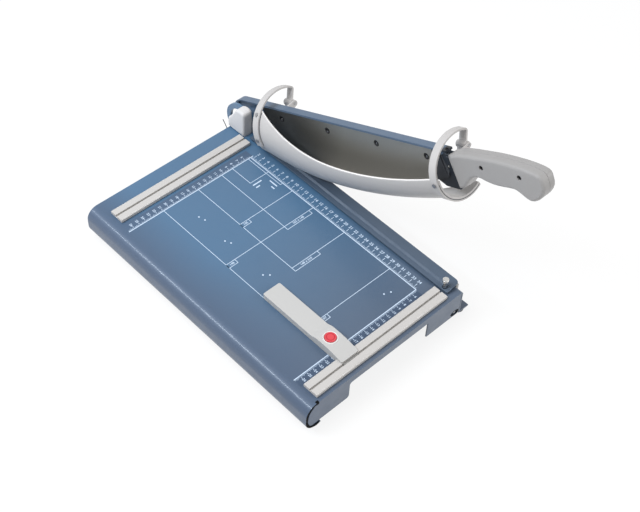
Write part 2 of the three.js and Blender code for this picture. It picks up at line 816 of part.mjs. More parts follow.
function makeGuardShell() {
  const trimHeight = pressGap + pressSheet + pressStep + guardTrim;
  const places = Array.from({ length: guardSteps + 1 }, (_, i) => {
    return backSeat + ((frontSeat - backSeat) * i) / guardSteps;
  });
  const rings = [];
  for (const reach of [backSeat - hoopWidth, ...places, frontSeat + hoopWidth]) {
    const section = guardSection(reach);
    const from = guardRimTop - guardRimRise * Math.exp((guardRimReach - reach) / guardRimFade);
    const flare = Math.max(reach - guardEdgeStart, 0) / (frontSeat - guardEdgeStart);
    const full = guardEdge + guardEdgeFlare * Math.min(flare, 1) ** 2;
    const trim = (trimHeight - pivotHeight - reach * Math.sin(armLift)) / Math.cos(armLift);
    const sunk = (section.height - trim) / section.radius;
    const to = sunk < 1 ? Math.min(Math.PI + Math.asin(sunk), full) : full;
    const outer = arcPoints(section.x, section.height, section.radius, to, from, guardSides);
    const within = section.radius - guardWall;
    const inner = arcPoints(section.x, section.height, within, from, to, guardSides);
    rings.push([...outer, ...inner].map(([x, z]) => [x, -reach, z]));
  }
  const hole = strapScrewShank + clearance;
  const ends = [[backHoopReach, backStrapScrews], [frontHoopReach, frontStrapScrews]];
  const holes = ends.flatMap(([reach, angles]) => {
    const { radius } = guardSection(reach);
    return strapRods(reach, angles, hole, radius - guardWall - overrun, radius + overrun);
  });
  place("guard_shell", cut(loft(rings), ...holes), pale, arm);
}

function makeHoop(end, reach, turn, stop, screws) {
  const section = guardSection(reach);
  const inner = section.radius + clearance;
  const outer = inner + hoopThick;
  const big = arcPoints(section.x, section.height, outer, stop, turn, 26);
  const [cornerX, cornerZ] = around(section, outer - hoopCorner, turn);
  const corner = arcPoints(cornerX, cornerZ, hoopCorner, turn, hoopLean, 6).slice(1);
  const strap = shapeOf(stripOutline([...big, ...corner, [lugX + hoopThick / 2, lugHeight]], hoopThick));
  const y0 = -reach - hoopWidth / 2;
  const y1 = -reach + hoopWidth / 2;
  const lug = rodY(-reach - lugWidth / 2, -reach + lugWidth / 2, lugX, lugHeight, lugRadius);
  const bore = rodY(y0 - lugWidth, y1 + lugWidth, lugX, lugHeight, lugPinRadius + clearance, screwSides);
  const holes = strapRods(reach, screws, strapScrewShank + clearance, inner - overrun, outer + overrun);
  place(`guard_hoop_${end}`, cut(join(alongY(strap, y0, y1), lug), bore, ...holes), pale, arm);
  const seat = outer + clearance;
  const heads = strapRods(reach, screws, strapScrewHead, seat, seat + strapScrewProud);
  const shanks = strapRods(reach, screws, strapScrewShank, inner - clearance - guardWall, seat + clearance);
  heads.forEach((head, i) => {
    place(`strap_screw_${end}_${i + 1}`, join(head, shanks[i]), zinc, arm);
  });
}

// Bracket and pin that carry one hoop, beside it on the arm's right face
function makeGuardHinge(end, reach, side) {
  const lugFace = -reach + side * (lugWidth / 2 + clearance);
  const far = lugFace + side * armEarThick;
  const y0 = Math.min(lugFace, far);
  const y1 = Math.max(lugFace, far);
  const seat = webRight + clearance;
  const ear = alongY(
    shapeOf([
      [seat, armEarLow],
      [lugX, lugHeight - armEarKnuckle],
      [lugX, lugHeight + armEarKnuckle],
      [seat, armEarHigh],
    ]),
    y0,
    y1,
  );
  const padEnd = lugFace + side * armEarLength;
  const pad = box(
    seat,
    seat + armEarPlate,
    Math.min(lugFace, padEnd),
    Math.max(lugFace, padEnd),
    armEarLow,
    armEarHigh,
  );
  const knuckle = rodY(y0, y1, lugX, lugHeight, armEarKnuckle);
  const bore = rodY(y0 - overrun, y1 + overrun, lugX, lugHeight, lugPinRadius + clearance, screwSides);
  place(`guard_bracket_${end}`, cut(join(ear, pad, knuckle), bore), pale, arm);
  const near = -reach - side * (lugWidth / 2 + clearance);
  const headEnd = near - side * lugPinHeadThick;
  const pinEnd = far + side * clearance;
  const low = Math.min(near, pinEnd);
  const high = Math.max(near, pinEnd);
  const pin = rodY(low, high, lugX, lugHeight, lugPinRadius, screwSides);
  const start = near + side * clearance / 2;
  const head = rodY(Math.min(headEnd, start), Math.max(headEnd, start), lugX, lugHeight, lugPinHead);
  place(`guard_pin_${end}`, join(pin, head), zinc, arm);
}

// Handle: two moulded halves screwed together over the tang
function makeHandle() {
  const seam = webLeft + webThick / 2;
  const round = handleRoundShare * handleLength;
  const corners = handleOutlineShares.map(([u, v]) => {
    return new THREE.Vector2(-handleStart - u * handleLength, handleLow + v * handleHeight);
  });
  const outline = new THREE.Shape(new THREE.SplineCurve(corners).getPoints(handleSteps));
  const grip = alongX(outline, seam - handleHalf, seam + handleHalf, {
    depth: 2 * handleHalf,
    bevelThickness: round,
    bevelSize: round,
    bevelOffset: -round,
    bevelSegments: 3,
  });
  const left = seam - handleHalf - round;
  const right = seam + handleHalf + round;
  const tangTop = bladeTop - tangDrop + clearance;
  const socket = box(
    webLeft - clearance,
    webRight + clearance,
    -tangEnd - clearance,
    -handleStart + round,
    tangTop - tangDepth - 2 * clearance,
    tangTop,
  );
  const z = bladeTop - handleScrewDrop;
  const sink = left + handleScrewSink;
  const seat = sink + handleScrewHead + clearance;
  const holes = handleScrewReaches.flatMap((reach) => [
    rodX(left - overrun, seat, -reach, z, handleScrewRadius + clearance, 16),
    rodX(left, handleScrewEnd + clearance, -reach, z, handleScrewShank + clearance, screwSides),
  ]);
  const hollowed = cut(grip, socket, ...holes);
  const whole = [-handleStart - handleLength - overrun, -handleStart + overrun];
  const tall = [handleLow - overrun, handleLow + handleHeight + overrun];
  const leftSide = box(left - overrun, seam - clearance / 2, ...whole, ...tall);
  const rightSide = box(seam + clearance / 2, right + overrun, ...whole, ...tall);
  place("handle_left", keep(hollowed, leftSide), grey, arm);
  place("handle_right", keep(hollowed, rightSide), grey, arm);
  handleScrewReaches.forEach((reach, i) => {
    const head = rodX(sink, sink + handleScrewHead, -reach, z, handleScrewRadius, 16);
    const shank = rodX(sink + handleScrewHead / 2, handleScrewEnd, -reach, z, handleScrewShank, screwSides);
    const recess = rodX(sink - overrun, sink + handleScrewHead / 2, -reach, z, handleScrewShank, 6);
    place(`handle_screw_${i + 1}`, cut(join(head, shank), recess), steel, arm);
  });
}

// Press bar: a folded strip beside the cut, guided by the stud at its front end
function makePressBar() {
  const right = cutX - pressInset;
  const left = right - pressWidth;
  const low = pressGap + pressSheet;
  const high = low + pressStep;
  const section = stripOutline([
    [left, low],
    [left + pressLip, low],
    [left + pressLip + pressRamp, high],
    [right, high],
  ], pressSheet);
  const front = frontY + pressFrontInset;
  const back = backY - pressBackInset;
  const plan = roundedShape([
    [left, front, pressSheet],
    [right, front, pressCorner],
    [right, back],
    [left, back],
  ]);
  const studX = cutX - studInset;
  const studY = frontY + studFront;
  const hole = rodZ(0, high + overrun, studX, studY, studBore);
  const folded = alongY(shapeOf(section), front - overrun, back + overrun);
  const bar = keep(folded, alongZ(plan, 0, high + overrun));
  place("press_bar", cut(bar, hole), blue);
  const nutTop = -sheet - clearance;
  const nutLow = nutTop - studNutThick;
  const shank = rodZ(nutLow - clearance, studTop, studX, studY, studRadius);
  const head = rodZ(studTop - studHeadHeight, studTop, studX, studY, studHeadRadius);
  place("clamp_screw", join(shank, head), zinc);
  const nut = rodZ(nutLow, nutTop, studX, studY, studNutRadius, 6);
  const nutBore = rodZ(nutLow - overrun, nutTop + overrun, studX, studY, studRadius + clearance);
  place("clamp_nut", cut(nut, nutBore), zinc);
}

// Screws that hold a rail from below the table, and the holes for them
function railScrewPlaces(right, near) {
  const y = near + railWidth / 2 + railScrewOffset;
  return [[-cutX + railLeftInset + railScrewInset, y], [right - railScrewInset, y]];
}

function makeRail(end, right, near) {
  const left = -cutX + railLeftInset;
  const base = clearance;
  const top = base + railHeight;
  const middle = near + railWidth / 2;
  const section = roundedShape([
    [near, base],
    [near + railWidth, base],
    [near + railWidth, top, railChamfer],
    [near, top, railChamfer],
  ]);
  const groove = box(
    left - overrun,
    right + overrun,
    middle - railGroove / 2,
    middle + railGroove / 2,
    top - railGrooveDepth,
    top + overrun,
  );
  const places = railScrewPlaces(right, near);
  const tip = base + railScrewGrip;
  const bore = railScrewShank + clearance;
  const sockets = places.map(([x, y]) => rodZ(-overrun, tip + clearance, x, y, bore, screwSides));
  place(`${end}_rail`, cut(alongX(section, left, right), groove, ...sockets), pale);
  places.forEach(([x, y], i) => {
    const seat = -sheet - clearance;
    const head = rodZ(seat - railScrewHeadThick, seat, x, y, railScrewHead, screwSides);
    const shank = rodZ(seat - clearance, tip, x, y, railScrewShank, screwSides);
    place(`rail_screw_${end}_${i + 1}`, join(head, shank), zinc);
  });
}

// Backstop: slides along the front rail and is freed by its button
function makeBackstop() {
  const nearY = grooveY + stopFoot;
  const farY = nearY + stopLength;
  const left = stopX - stopWidth / 2;
  const right = stopX + stopWidth / 2;
  const railFar = grooveY + railWidth / 2;
  const overRail = clearance + railHeight + clearance;
  const buttonY = grooveY + buttonBack;
  const rimFar = buttonY + buttonRadius + stopRound;
  const rimNear = buttonY - buttonRadius - stopRound;
  const plan = roundedShape([
    [left, farY, stopRound],
    [left, nearY, stopRound],
    [right, nearY, stopRound],
    [right, farY, stopRound],
  ]);
  const side = roundedShape([
    [farY + overrun, clearance],
    [farY + overrun, stopArmHeight],
    [rimFar + stopStep, stopArmHeight, stopRound],
    [rimFar, stopHeadHeight, stopRound],
    [rimNear, stopHeadHeight, stopStep],
    [nearY - overrun, stopNoseHeight],
    [nearY - overrun, overRail],
    [railFar + clearance, overRail],
    [railFar + clearance, clearance],
  ]);
  const blank = keep(
    alongZ(plan, 0, stopHeadHeight + overrun),
    alongX(side, left - overrun, right + overrun),
  );
  const stripNear = farY - stopStripLength;
  const grooveTop = stopStripHeight + stopStripGroove;
  const grooves = [
    box(left - overrun, left + stopStripGroove, stripNear, farY + overrun, stopStripHeight, grooveTop),
    box(right - stopStripGroove, right + overrun, stripNear, farY + overrun, stopStripHeight, grooveTop),
  ];
  const well = rodZ(buttonFloor, stopHeadHeight + overrun, stopX, buttonY, buttonRadius + buttonGap, 28);
  place("backstop", cut(blank, well, ...grooves), pale);

  const top = stopHeadHeight + buttonProud;
  const bottom = top - buttonDepth;
  const button = rodZ(bottom, top, stopX, buttonY, buttonRadius, 28);
  const cup = rodZ(bottom - overrun, top - buttonWall, stopX, buttonY, buttonRadius - buttonWall);
  place("stop_button", cut(button, cup), red);

  const springLow = buttonFloor + clearance + springWire / 2;
  const springHigh = top - buttonWall - buttonTravel - clearance - springWire / 2;
  place("button_spring", coilSpring(stopX, buttonY, springLow, springHigh), steel);

  const shoeTop = overRail - clearance;
  const shoeLow = clearance + railHeight - railGrooveDepth + clearance;
  const tongue = box(
    stopX - shoeLength / 2,
    stopX + shoeLength / 2,
    grooveY - shoeWidth / 2,
    grooveY + shoeWidth / 2,
    shoeLow,
    shoeTop,
  );
  place("backstop_shoe", tongue, steel);
}

// Upright coil of round wire, one unbroken tube
function coilSpring(x, y, low, high) {
  const rings = [];
  const count = springTurns * springSteps;
  for (let i = 0; i <= count; i += 1) {
    const turn = (2 * Math.PI * i) / springSteps;
    const z = low + ((high - low) * i) / count;
    const ring = arcPoints(springRadius, z, springWire / 2, 0, 2 * Math.PI, springSides).slice(1);
    rings.push(ring.map(([out, up]) => [x + out * Math.cos(turn), y + out * Math.sin(turn), up]));
  }
  return tube(rings);
}

makeBase();
makeFeet();
makeCounterKnife();
makeBracket();
makePivot();
makeCap();
makeArmBar();
makeBlade();
makeGuardShell();
makeHoop("back", backHoopReach, backHoopTurn, backHoopEnd, backStrapScrews);
makeHoop("front", frontHoopReach, frontHoopTurn, guardEdge + guardEdgeFlare, frontStrapScrews);
makeGuardHinge("back", backHoopReach, -1);
makeGuardHinge("front", frontHoopReach, 1);
makeHandle();
makePressBar();
makeRail("back", backRailEnd, backRailNear);
makeRail("front", frontRailEnd, frontRailNear);
makeBackstop();

// The whole cutter stands on the desk, centred over the origin
const middle = new THREE.Box3().setFromObject(root, true).getCenter(new THREE.Vector3());
root.position.set(-middle.x, -middle.y, standHeight);

export default root;
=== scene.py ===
# Guillotine paper cutter: finish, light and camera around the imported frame. Metres, +Z up.
import json
import math

import bmesh
import bpy
from mathutils import Matrix, Vector

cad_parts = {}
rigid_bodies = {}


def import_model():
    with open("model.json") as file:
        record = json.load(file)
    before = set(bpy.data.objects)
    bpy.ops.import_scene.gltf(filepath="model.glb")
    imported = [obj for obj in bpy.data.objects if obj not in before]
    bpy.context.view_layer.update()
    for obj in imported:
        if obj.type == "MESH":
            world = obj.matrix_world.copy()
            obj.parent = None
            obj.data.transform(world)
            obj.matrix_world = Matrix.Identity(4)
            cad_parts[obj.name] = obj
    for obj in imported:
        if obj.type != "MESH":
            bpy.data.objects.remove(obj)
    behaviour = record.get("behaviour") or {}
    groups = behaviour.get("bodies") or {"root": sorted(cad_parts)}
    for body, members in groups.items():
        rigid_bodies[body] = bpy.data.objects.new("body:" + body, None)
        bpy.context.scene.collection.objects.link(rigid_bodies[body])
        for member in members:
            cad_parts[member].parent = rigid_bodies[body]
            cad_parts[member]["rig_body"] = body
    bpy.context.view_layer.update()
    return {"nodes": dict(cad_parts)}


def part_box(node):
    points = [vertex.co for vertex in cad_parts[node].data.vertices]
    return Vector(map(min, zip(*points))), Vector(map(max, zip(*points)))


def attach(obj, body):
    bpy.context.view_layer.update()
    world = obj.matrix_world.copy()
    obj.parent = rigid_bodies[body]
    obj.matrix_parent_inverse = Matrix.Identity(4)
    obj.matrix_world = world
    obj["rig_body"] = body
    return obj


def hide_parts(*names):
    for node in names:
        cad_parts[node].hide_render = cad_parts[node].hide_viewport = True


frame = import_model()
MM = 0.001

# Camera, in metres from the middle of the table top
CAMERA_PLACE = (-0.77451, -0.82156, 1.27440)
CAMERA_RIGHT = (0.7247, -0.6878, 0.0420)
CAMERA_FORWARD = (0.4757, 0.4553, -0.7526)
FOCAL_PIXELS = 1258.86
IMAGE_WIDTH = 640
SENSOR = 36.0

# Table, in millimetres from the middle of its top
ROLL_LEFT = -153.5
CUT_X = 136.0
LEFT_X = -136.0
FRONT_Y = -221.5
BACK_Y = 221.5
DESK = -52.0
SHEET = 2.0
ROLL_RADIUS = 17.5
ROLL_DROP = 11.0
FOOT_RADIUS = 20.0
SLOT_X = 119.0
SLOT_Z = -35.0

# Arm, its hinge and its parts, in millimetres
PIVOT_Y = 206.5
PIVOT_Z = 15.0
ARM_LIFT = math.radians(24.65)
BLADE_TOP = 22.5
WEB_LEFT = 3.3
HANDLE_LEFT = -1.4
TAIL_RISE = 7.0
TAIL_RISE_START = 20.0
TAIL_RISE_END = 6.0
TAIL_LOW = 4.0
# From these reaches the arm and the blade take darker colours: painted shade under the front of the
# guard and its hoop.
ARM_DARK_FROM = 397.0
BLADE_DARK_FROM = 378.0
BLADE_SCREWS = (73.5, 174, 273, 366)
BLADE_SCREW_DROP = 16
HANDLE_SCREWS = (466, 526)
HANDLE_SCREW_DROP = 8.5

# Guard: an arc, given as (reach, centre x, centre height, radius) at its belly and at both ends
GUARD_BELLY = (195.0, 4.6, -29.5, 42.0)
GUARD_BACK = (65.5, 12.2, -7.6, 50.4)
GUARD_FRONT = (397.5, 16.5, -5.5, 44.0)
GUARD_WALL = 3.0
GUARD_LIP = 0.7
HOOP_WIDTH = 12.0
BACK_HOOP = GUARD_BACK[0] - HOOP_WIDTH / 2
FRONT_HOOP = GUARD_FRONT[0] + HOOP_WIDTH / 2
HINGE_HEIGHT = 15.7

# Angles of the guard's rim, open at the back, and of its lower edge, flared at the front
RIM_ANGLE = 182
RIM_OPENING = 47
RIM_START = 66
RIM_LENGTH = 95
EDGE_ANGLE = 279
EDGE_FLARE = 21
FLARE_START = 340
TRIM_HEIGHT = 10.8

# Front guard bracket: how far its ear stays whole, and how much is left of the rest
EAR_HALF = 8.3
EAR_SHARE = 0.5
EAR_HEIGHT_SHARE = 0.75

# Pivot cap: how much its back lobe is lowered, and how soon
CAP_DROP = 0.26
CAP_SLOPE = 1.6

# Printed lines: the paper formats are counted from the cutting line and from the back rail
STOP_Y = 168.5
MAIN_X = 85.6
BACK_LINE = 152.1
FRONT_LINE = -177.3
PRINT_LEFT = LEFT_X + 2
INK_HEIGHT = 0.05
THICK_LINE = 1.3
THIN_LINE = 0.8
LABEL_SIZE = 5.0
LABEL_HEIGHT = 7
RULER_DOWN = (18, 345)
RULER_ACROSS = (51, 270)
FINE_LINE = 0.3
FIGURES_DOWN = 6.4
FIGURES_ACROSS = 5.2
DOT_RADIUS = 1.2
BAND_DEPTH = 0.04
BAND_HEIGHT = 0.03

# Materials and stage
CLOUD_SCALE = 9.0
GLOSS_SCALE = 60.0
GRAIN_DEPTH = 0.0003
COAT_ROUGH = 0.2
FLAT_WEIGHT = 80
FLOOR_HALF = 6.0
FLOOR_GLOW = 0.84
WORLD_LIGHT = 0.4
WORLD_SEEN = 1.0

# The frame's own origin is on the desk; this is the middle of the table top in it
base_low, base_high = (Vector(corner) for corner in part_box("base_sheet"))
TABLE = Vector((base_low.x - ROLL_LEFT * MM, (base_low.y + base_high.y) / 2, base_high.z))
ARM_FRAME = (
    Matrix.Translation(TABLE + Vector((CUT_X, PIVOT_Y, PIVOT_Z)) * MM)
    @ Matrix.Rotation(-ARM_LIFT, 4, "X")
    @ Matrix.Scale(MM, 4)
)
TABLE_FRAME = Matrix.Translation(TABLE) @ Matrix.Scale(MM, 4)


# Materials

def srgb(red, green, blue):
    """Linear colour of a colour read off a screen, 0 to 255."""
    def linear(value):
        share = value / 255
        return share / 12.92 if share <= 0.04045 else ((share + 0.055) / 1.055) ** 2.4
    return (linear(red), linear(green), linear(blue))


def new_material(name):
    material = bpy.data.materials.new(name)
    material.use_nodes = True
    nodes = material.node_tree.nodes
    return material, nodes, material.node_tree.links, nodes["Principled BSDF"]


def noise(nodes, links, scale, detail=2.0, stretch=(1, 1, 1)):
    place = nodes.new("ShaderNodeTexCoord")
    mapping = nodes.new("ShaderNodeMapping")
    mapping.inputs["Scale"].default_value = stretch
    links.new(place.outputs["Object"], mapping.inputs["Vector"])
    texture = nodes.new("ShaderNodeTexNoise")
    texture.inputs["Scale"].default_value = scale
    texture.inputs["Detail"].default_value = detail
    links.new(mapping.outputs["Vector"], texture.inputs["Vector"])
    return texture.outputs["Fac"]


def ramp(nodes, links, source, low, high, start=0.3, end=0.7):
    node = nodes.new("ShaderNodeMapRange")
    node.inputs["From Min"].default_value = start
    node.inputs["From Max"].default_value = end
    node.inputs["To Min"].default_value = low
    node.inputs["To Max"].default_value = high
    links.new(source, node.inputs["Value"])
    return node.outputs["Result"]


def along(nodes, links, axis, start, end):
    """0 to 1 between two places on an axis of the frame."""
    place = nodes.new("ShaderNodeTexCoord")
    parts = nodes.new("ShaderNodeSeparateXYZ")
    links.new(place.outputs["Object"], parts.inputs[0])
    return ramp(nodes, links, parts.outputs[axis], 0.0, 1.0, start, end)


def blend(nodes, links, source, first, second):
    """first to second colour as source goes from 0 to 1; either may be a socket."""
    mix = nodes.new("ShaderNodeMix")
    mix.data_type = "RGBA"
    for slot, color in ((6, first), (7, second)):
        if isinstance(color, tuple):
            mix.inputs[slot].default_value = (*color, 1)
        else:
            links.new(color, mix.inputs[slot])
    links.new(source, mix.inputs[0])
    return mix.outputs[2]


def coated(
    name, color, rough, spread=0.05, grain=900.0, bump=0.05,
    metal=0.0, stretch=(1, 1, 1), coat=0.0, fades=(),
):
    """A paint, plastic or metal: faint clouds of colour, uneven gloss and a fine grain.

    Each fade is (colour, axis, start, end): the colour turns to it along an axis of the frame.
    """
    material, nodes, links, shader = new_material(name)
    clouds = noise(nodes, links, CLOUD_SCALE, 3.0)
    light = tuple(min(c * (1 + spread), 1) for c in color)
    dark = tuple(c * (1 - spread) for c in color)
    tint = blend(nodes, links, clouds, dark, light)
    for far, axis, start, end in fades:
        tint = blend(nodes, links, along(nodes, links, axis, start, end), tint, far)
    links.new(tint, shader.inputs["Base Color"])
    gloss = noise(nodes, links, GLOSS_SCALE, 3.0, stretch)
    uneven = ramp(nodes, links, gloss, rough * 0.88, min(rough * 1.15, 1))
    links.new(uneven, shader.inputs["Roughness"])
    shader.inputs["Metallic"].default_value = metal
    if coat > 0:
        shader.inputs["Coat Weight"].default_value = coat
        shader.inputs["Coat Roughness"].default_value = COAT_ROUGH
    fine = noise(nodes, links, grain, 2.0, stretch)
    relief = nodes.new("ShaderNodeBump")
    relief.inputs["Strength"].default_value = bump
    relief.inputs["Distance"].default_value = GRAIN_DEPTH
    links.new(fine, relief.inputs["Height"])
    links.new(relief.outputs["Normal"], shader.inputs["Normal"])
    return material


# Both fades are painted shade: the table top darkens towards its front and towards its left edge and
# roll.
PAINT = coated("table_powder_coat", srgb(70, 103, 133), 0.45, 0.05, 1400, 0.1, coat=0.4, fades=(
    (srgb(74, 88, 107), "Y", TABLE.y + 0.04, TABLE.y - 0.2),
    (srgb(64, 81, 104), "X", TABLE.x - 0.08, TABLE.x - 0.15),
))
BAR_PAINT = coated("bar_powder_coat", srgb(72, 86, 103), 0.5, 0.05, 1400, 0.12)
ARM_PAINT = coated("arm_powder_coat", srgb(80, 98, 119), 0.42, 0.04, 1400, 0.12)
# Painted shade: a dark colour for the arm's end, its end plate and the gaps at the guard's hoops, where
# shade falls.
DARK = coated("painted_shade_dark", srgb(40, 47, 56), 0.42, 0.06, 1400, 0.1)
# Near-black painted shade, for gaps, hole rims and edges that lie in shadow.
BLACK = coated("painted_shade_black", srgb(12, 13, 15), 0.7, 0.06, 1400, 0.1)
BLACK.node_tree.nodes["Principled BSDF"].inputs["Specular IOR Level"].default_value = 0.1
LEDGE = coated("ledge_coat", srgb(92, 98, 106), 0.42, 0.06, 1400, 0.1)
# The first fade is painted shade: the blade is dark at its back end, inside the guard near the pivot,
# and light towards the front; the second keeps it light.
BLADE = coated("blade_steel", srgb(66, 66, 64), 0.4, 0.05, 500, 0.2, 0.8, (1, 40, 1), fades=(
    (srgb(156, 154, 147), "Y", TABLE.y + 0.15, TABLE.y + 0.02),
    (srgb(156, 154, 148), "Y", TABLE.y + 0.02, TABLE.y - 0.1),
))
# A darker, less metallic copy of the blade steel: painted shade on the blade's front end, under the
# front of the guard.
BLADE_END_SHADE = coated("blade_end", srgb(66, 69, 74), 0.42, 0.05, 500, 0.1, 0.5)
STEEL = coated("ground_steel", srgb(150, 150, 148), 0.32, 0.05, 500, 0.15, 1.0, (40, 1, 1))
ZINC = coated("zinc_plate", srgb(205, 205, 203), 0.22, 0.05, 700, 0.05, 1.0)
BLACK_SCREW = coated("black_screw", srgb(40, 40, 42), 0.4, 0.05, 700, 0.05, 0.6)
GUARD = coated("guard_plastic", srgb(184, 181, 179), 0.42, 0.03, 1800, 0.05)
# A lighter copy of the guard plastic: painted highlight along the guard's rim.
RIM = coated("guard_rim_highlight", srgb(236, 233, 231), 0.4, 0.02, 1800, 0.05)
CAP = coated("cap_plastic", srgb(208, 206, 206), 0.45, 0.03, 1800, 0.06)
GRIP = coated("handle_plastic", srgb(152, 150, 149), 0.48, 0.03, 1500, 0.1)
RAIL = coated("rail_plastic", srgb(188, 185, 182), 0.45, 0.03, 1800, 0.05)
STOP = coated("stop_plastic", srgb(184, 183, 181), 0.48, 0.03, 1500, 0.06)
STOP_RIM = coated("stop_rim", srgb(222, 218, 216), 0.4, 0.03, 1500, 0.04)
RED = coated("button_plastic", srgb(205, 62, 70), 0.3, 0.04, 1500, 0.04, coat=0.3)
RED_RING = coated("button_ring", srgb(168, 30, 46), 0.35, 0.04, 1500, 0.04)
RUBBER = coated("foot_rubber", srgb(78, 80, 84), 0.8, 0.08, 1200, 0.2)
INK = coated("white_ink", srgb(196, 212, 230), 0.5, 0.03, 2000, 0.03)
NAVY_INK = coated("navy_ink", srgb(62, 78, 100), 0.5, 0.04, 2000, 0.03)
BAND_INK = coated("band_ink", srgb(70, 90, 114), 0.45, 0.05, 1400, 0.1)
PIN = coated("pin_steel", srgb(158, 158, 160), 0.35, 0.05, 700, 0.05, 0.8)
WIRE = coated("dark_wire", srgb(60, 62, 66), 0.4, 0.05, 900, 0.05, 0.8)


# Mesh helpers

def link(name, mesh):
    piece = bpy.data.objects.new(name, mesh)
    bpy.context.scene.collection.objects.link(piece)
    return piece


def shade(piece, width=0.0, angle=30.0, segments=2):
    """Smooth faces with crisp corners; width, in millimetres, rounds the corners."""
    for face in piece.data.polygons:
        face.use_smooth = True
    if width > 0:
        bevel = piece.modifiers.new("edge", "BEVEL")
        bevel.width = width * MM
        bevel.segments = segments
        bevel.limit_method = "ANGLE"
        bevel.angle_limit = math.radians(angle)
        bevel.harden_normals = True
        bevel.miter_outer = "MITER_ARC"
    else:
        split = piece.modifiers.new("corner", "EDGE_SPLIT")
        split.split_angle = math.radians(angle)
    normals = piece.modifiers.new("normals", "WEIGHTED_NORMAL")
    normals.keep_sharp = True
    normals.weight = FLAT_WEIGHT


def finish(name, form, materials, body, width=0.0, angle=30.0, segments=2):
    """A new piece from a bmesh in the frame's metres, riding on a body."""
    bmesh.ops.recalc_face_normals(form, faces=form.faces)
    mesh = bpy.data.meshes.new(name)
    form.to_mesh(mesh)
    form.free()
    for material in materials:
        mesh.materials.append(material)
    piece = link(name, mesh)
    shade(piece, width, angle, segments)
    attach(piece, body)
    return piece


def dress(node, material, width=0.4, angle=30.0, segments=2, split=None, reform=None):
    """A finished copy of a CAD node: its flats made whole, its edges rounded, its material on.

    split is (material, point, normal): what lies past that plane gets the other material.
    reform changes the form before it is finished.
    """
    source = frame["nodes"][node]
    form = bmesh.new()
    form.from_mesh(source.data)
    bmesh.ops.remove_doubles(form, verts=form.verts, dist=2e-6)
    bmesh.ops.dissolve_limit(form, angle_limit=math.radians(0.6), verts=form.verts, edges=form.edges)
    for face in form.faces:
        face.material_index = 0
    if split:
        point, normal = split[1:]
        every = form.verts[:] + form.edges[:] + form.faces[:]
        bmesh.ops.bisect_plane(form, geom=every, dist=1e-6, plane_co=point, plane_no=normal)
        for face in form.faces:
            past = (face.calc_center_median() - point).dot(normal) > 0
            face.material_index = 1 if past else 0
    if reform:
        reform(form)
    materials = [material, split[0]] if split else [material]
    piece = finish(f"{node}_finish", form, materials, source["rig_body"], width, angle, segments)
    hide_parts(node)


def add_box(form, place, x, y, z, index=0):
    """A closed box between pairs of values, in millimetres of the table's or the arm's frame."""
    corners = [form.verts.new(place @ Vector((a, b, c))) for c in z for b in y for a in x]
    for quad in ((0, 2, 3, 1), (4, 5, 7, 6), (0, 1, 5, 4), (2, 6, 7, 3), (0, 4, 6, 2), (1, 3, 7, 5)):
        form.faces.new([corners[i] for i in quad]).material_index = index


def add_lathe(form, place, profile, sides, index=0):
    """A closed ring or disc turned round the Z axis of its place; profile is (radius, height)."""
    rings = []
    for radius, height in profile:
        if radius == 0:
            rings.append([form.verts.new(place @ Vector((0, 0, height)))])
            continue
        ring = []
        for i in range(sides):
            angle = 2 * math.pi * i / sides
            point = Vector((radius * math.cos(angle), radius * math.sin(angle), height))
            ring.append(form.verts.new(place @ point))
        rings.append(ring)
    for first, second in zip(rings, rings[1:] + rings[:1]):
        if len(first) == 1 and len(second) == 1:
            continue
        for i in range(sides):
            j = (i + 1) % sides
            quad = (
                first[i % len(first)], first[j % len(first)],
                second[j % len(second)], second[i % len(second)],
            )
            form.faces.new(list(dict.fromkeys(quad))).material_index = index


def add_skin(form, rings):
    """Faces between rings of the same length, one after another, and over both ends."""
    sides = len(rings[0])
    for first, second in zip(rings, rings[1:]):
        for i in range(sides):
            j = (i + 1) % sides
            form.faces.new([first[i], first[j], second[j], second[i]])
    form.faces.new(rings[0])
    form.faces.new(rings[-1])


def add_tube(form, points, radius, sides):
    """A round wire through points in the frame's metres, closed at both ends."""
    rings = []
    for i, point in enumerate(points):
        ahead = (points[min(i + 1, len(points) - 1)] - points[max(i - 1, 0)]).normalized()
        side = ahead.cross(Vector((0, 1, 0.02))).normalized()
        up = side.cross(ahead)
        ring = []
        for k in range(sides):
            turn = 2 * math.pi * k / sides
            ring.append(form.verts.new(point + (side * math.cos(turn) + up * math.sin(turn)) * radius))
        rings.append(ring)
    add_skin(form, rings)


# Pieces made from their CAD node

def level_tail(form):
    """The arm's tail without its rise."""
    for vert in form.verts:
        x, y, z = ARM_FRAME.inverted() @ vert.co
        share = min(max((y + TAIL_RISE_START) / (TAIL_RISE_START - TAIL_RISE_END), 0), 1)
        if z > TAIL_LOW:
            z -= share * TAIL_RISE * (z - TAIL_LOW) / (BLADE_TOP + TAIL_RISE - TAIL_LOW)
        vert.co = ARM_FRAME @ Vector((x, y, z))


def slim_front_ear(form):
    """The front guard bracket and its pin drawn in round the hinge, the ear towards the handle."""
    for vert in form.verts:
        x, y, z = ARM_FRAME.inverted() @ vert.co
        wide = y + FRONT_HOOP
        half = min(abs(wide), EAR_HALF) + max(abs(wide) - EAR_HALF, 0) * EAR_SHARE
        side = math.copysign(half, -wide)
        height = HINGE_HEIGHT + (z - HINGE_HEIGHT) * EAR_HEIGHT_SHARE
        vert.co = ARM_FRAME @ Vector((x, side - FRONT_HOOP, height))


def slope_cap(form):
    """The cap's back lobe, lower than its front one."""
    low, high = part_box("pivot_cap")
    middle = (low[1] + high[1]) / 2
    for vert in form.verts:
        share = min(max((vert.co.y - middle) / (high[1] - middle) * CAP_SLOPE, 0), 1)
        share = share * share * (3 - 2 * share)
        vert.co.z = low[2] + (vert.co.z - low[2]) * (1 - CAP_DROP * share)


